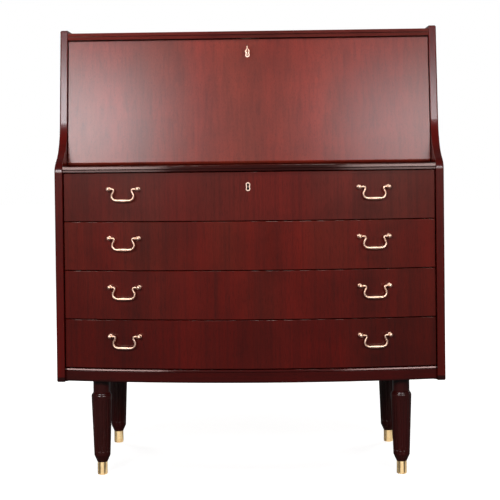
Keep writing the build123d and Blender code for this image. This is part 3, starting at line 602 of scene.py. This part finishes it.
# %% Screws on the plates
def face_frame(node, towards, near=None):
    """Matrix on a node's outermost flat face that looks one way: X along the desk, Z out of the face."""
    mesh = frame["nodes"][node].data
    faces = [f for f in mesh.polygons if f.normal.dot(towards) > 0.99]
    if near is not None:
        faces = [f for f in faces if abs(f.center.z - near) < 0.01]
    out = max(faces, key=lambda f: f.area).normal.copy()
    reach = max(f.center.dot(out) for f in faces)
    corners = [mesh.vertices[v].co for f in faces if f.center.dot(out) > reach - 0.0002 for v in f.vertices]
    middle = Vector([(min(c[i] for c in corners) + max(c[i] for c in corners)) / 2 for i in range(3)])
    up = out.cross(Vector((1, 0, 0)))
    return Matrix.Translation(middle) @ Matrix((Vector((1, 0, 0)), up, out)).transposed().to_4x4()


def joined(pieces, name):
    """Several pieces made one."""
    bpy.ops.object.select_all(action="DESELECT")
    for piece in pieces:
        piece.select_set(True)
    bpy.context.view_layer.objects.active = pieces[0]
    bpy.ops.object.join()
    whole = bpy.context.object
    whole.name = name
    return whole


def screws(name, body, seats):
    """Screws on a body, each at a place on a face, with its slot turned a little further than the last."""
    sunk = (screw_proud - screw_height / 2) / 1000
    heads = []
    for number, (face, x, y) in enumerate(seats):
        turn = Matrix.Rotation(slot_first_turn + slot_next_turn * number, 4, "Z")
        seat = face @ Matrix.Translation((x, y, sunk)) @ turn
        heads.append(copy_of(screw_master, f"{name}_{number}", seat @ Matrix.Scale(0.001, 4)))
    group = joined(heads, name)
    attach(group, body)
    return group


case_reach = 0.0172
case_low, case_high = -0.019, 0.005
case_spots = [(x, y) for x in (-case_reach, case_reach) for y in (case_low, case_high)]
strike_reach = 0.021
backwards = Vector((0, 1, 0))
downwards = Vector((0, 0, -1))
for name, body in (("fall_lock", "flap"), ("drawer_lock", "drawer_1")):
    face = face_frame(f"{name}_case", backwards)
    upwards = 1 if face.col[1].z > 0 else -1
    screws(f"{name}_screws", body, [(face, x, upwards * y) for x, y in case_spots])
plate_low, plate_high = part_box("strike_plates")
plates = [face_frame("strike_plates", downwards, height) for height in (plate_low[2], plate_high[2])]
screws("strike_screws", "carcase", [(face, x, 0) for face in plates for x in (-strike_reach, strike_reach)])
bpy.data.objects.remove(screw_master)

# %% [markdown]
# ## Dovetails of the drawers
# A drawer's front is held to its sides by lapped dovetails: pale tails of the sides let into the dark ends
# of the front, seen when the drawer is open. They could be painted into the finish, but a shape shows at
# any size, so each tail is a thin block whose far face is widened, and five of them are set in each end.

# %% Dovetails
tail_count = 5
tail_length = 0.0135
tail_root = 0.0085
tail_end = 0.0135
tail_sunk = 0.0020
tail_proud = 0.00015
tail_edge = 0.0001

bpy.ops.object.select_all(action="DESELECT")
bpy.ops.mesh.primitive_cube_add(size=1)
tail_master = bpy.context.object
tail_master.scale = (tail_sunk + tail_proud, tail_length, tail_root)
bpy.ops.object.transform_apply(location=False, rotation=False, scale=True)
edit_faces(tail_master, lambda face: face.normal.y < -0.9)
bpy.ops.transform.resize(value=(1, 1, tail_end / tail_root))
bpy.ops.mesh.select_all(action="SELECT")
bpy.ops.mesh.bevel(offset=tail_edge, segments=1, affect="EDGES")
bpy.ops.object.mode_set(mode="OBJECT")
tail_master.data.materials.append(beech_along_drawers)

for drawer in drawers:
    sides_low, sides_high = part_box(f"{drawer}_sides")
    joint_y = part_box(f"{drawer}_front")[1][1]
    tail_pitch = (sides_high[2] - sides_low[2]) / tail_count
    tails = []
    for outer_x, inward in ((sides_low[0], 1), (sides_high[0], -1)):
        tail_x = outer_x + inward * (tail_sunk - tail_proud) / 2
        for number in range(tail_count):
            spot = (tail_x, joint_y - tail_length / 2, sides_low[2] + (number + 0.5) * tail_pitch)
            tails.append(copy_of(tail_master, f"{drawer}_tail_{len(tails)}", Matrix.Translation(spot)))
    dovetails = joined(tails, f"{drawer}_dovetails")
    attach(dovetails, drawer)
bpy.data.objects.remove(tail_master)

# %% [markdown]
# ## A white card for the brass
# Polished brass looks like what stands in front of it, and a photographer holds up a white card for it to
# mirror. Here the card is a broad lamp that only the brass receives, by light linking, because on the
# lacquer it would lie as a grey veil.

# %% Card for the brass
bpy.ops.object.select_all(action="DESELECT")
white_card = soft_light("white_card", (0, -3.6, 1.6), (0, 0, 0.6), 3.2, 2.6, 25)
brassware = bpy.data.collections.new("brassware")
for piece in bpy.data.objects:
    if piece.type == "MESH" and piece.data.materials and piece.data.materials[0] in (brass, pale_brass):
        brassware.objects.link(piece)
white_card.light_linking.receiver_collection = brassware

# %% [markdown]
# ## The floor
# A plain pale floor carries the desk. It is large, so that its edge never shows, and mirrors leave it
# out, because the lower drawers would otherwise mirror a white sheet that the real room didn't have. The
# bright ferrules do mirror it, as a pale streak, so each leg stands in a patch of glowing floor that only
# the ferrules receive. A patch glows ahead of its leg and behind it, by the bearing from the leg, and
# starts a little away from it, which leaves the foot of the ferrule dark.

# %% Floor
bpy.ops.object.select_all(action="DESELECT")
bpy.ops.mesh.primitive_plane_add(size=30)
floor = bpy.context.object
floor.name = "studio_floor"
floor_finish, floor_tree, floor_shader, floor_place = new_material("white_floor")
# The floor's glow is weaker near the middle of the desk, a painted shade around it in which the shadows show,
# and full white from shade_far on.
shade_near = 0.3
shade_far = 1.8
from_middle = add_node(floor_tree, "ShaderNodeVectorMath", {"operation": "LENGTH"})
floor_tree.links.new(floor_place, from_middle.inputs[0])
shade = add_node(
    floor_tree, "ShaderNodeMapRange", Value=from_middle.outputs["Value"], From_Min=shade_near, From_Max=shade_far
)
floor_tree.links.new(
    ramp(floor_tree, shade.outputs["Result"], (0.0, 0.80), (1.0, 1.0)), floor_shader.inputs["Emission Color"]
)
floor_shader.inputs["Emission Strength"].default_value = 1.0
floor_shader.inputs["Base Color"].default_value = (0.55, 0.55, 0.55, 1)
floor_shader.inputs["Roughness"].default_value = 0.9
floor_shader.inputs["Specular IOR Level"].default_value = 0.0
floor.data.materials.append(floor_finish)
floor.visible_glossy = False
floor.visible_diffuse = False
print("floor", floor.name)

# %% Floor glow for the ferrules
ferruleware = bpy.data.collections.new("ferruleware")
ferruleware.objects.link(frame["nodes"]["ferrules"])
glow_size = 0.7
glow_near = 0.022
glow_full = 1.2 * glow_near
glow_sunk = 0.001
glow_low = 0.12
glow_finish, glow_tree, glow_shader, glow_place = new_material("floor_glow")
bearing = add_node(glow_tree, "ShaderNodeTexGradient", {"gradient_type": "RADIAL"}, Vector=glow_place)
streaks = ramp(
    glow_tree, bearing.outputs["Fac"], (0.13, glow_low), (0.19, 1.0), (0.31, 1.0), (0.37, glow_low),
    (0.63, glow_low), (0.69, 1.0), (0.81, 1.0), (0.87, glow_low),
)
from_leg = add_node(glow_tree, "ShaderNodeVectorMath", {"operation": "LENGTH"})
glow_tree.links.new(glow_place, from_leg.inputs[0])
start = add_node(
    glow_tree, "ShaderNodeMapRange", Value=from_leg.outputs["Value"], From_Min=glow_near, From_Max=glow_full
)
beyond_foot = ramp(glow_tree, start.outputs["Result"], (0.0, 0.0), (1.0, 1.0))
glow = mix(glow_tree, "MULTIPLY", 1.0, streaks, beyond_foot)
glow_tree.links.new(glow, glow_shader.inputs["Emission Color"])
glow_shader.inputs["Emission Strength"].default_value = 1.05
for leg in ("front_left", "front_right", "rear_left", "rear_right"):
    low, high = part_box(f"{leg}_leg")
    foot_middle = ((low[0] + high[0]) / 2, (low[1] + high[1]) / 2, -glow_sunk)
    bpy.ops.mesh.primitive_plane_add(size=glow_size, location=foot_middle)
    patch = bpy.context.object
    patch.name = f"{leg}_floor_glow"
    patch.data.materials.append(glow_finish)
    patch.visible_camera = False
    patch.visible_diffuse = False
    patch.visible_shadow = False
    patch.light_linking.receiver_collection = ferruleware
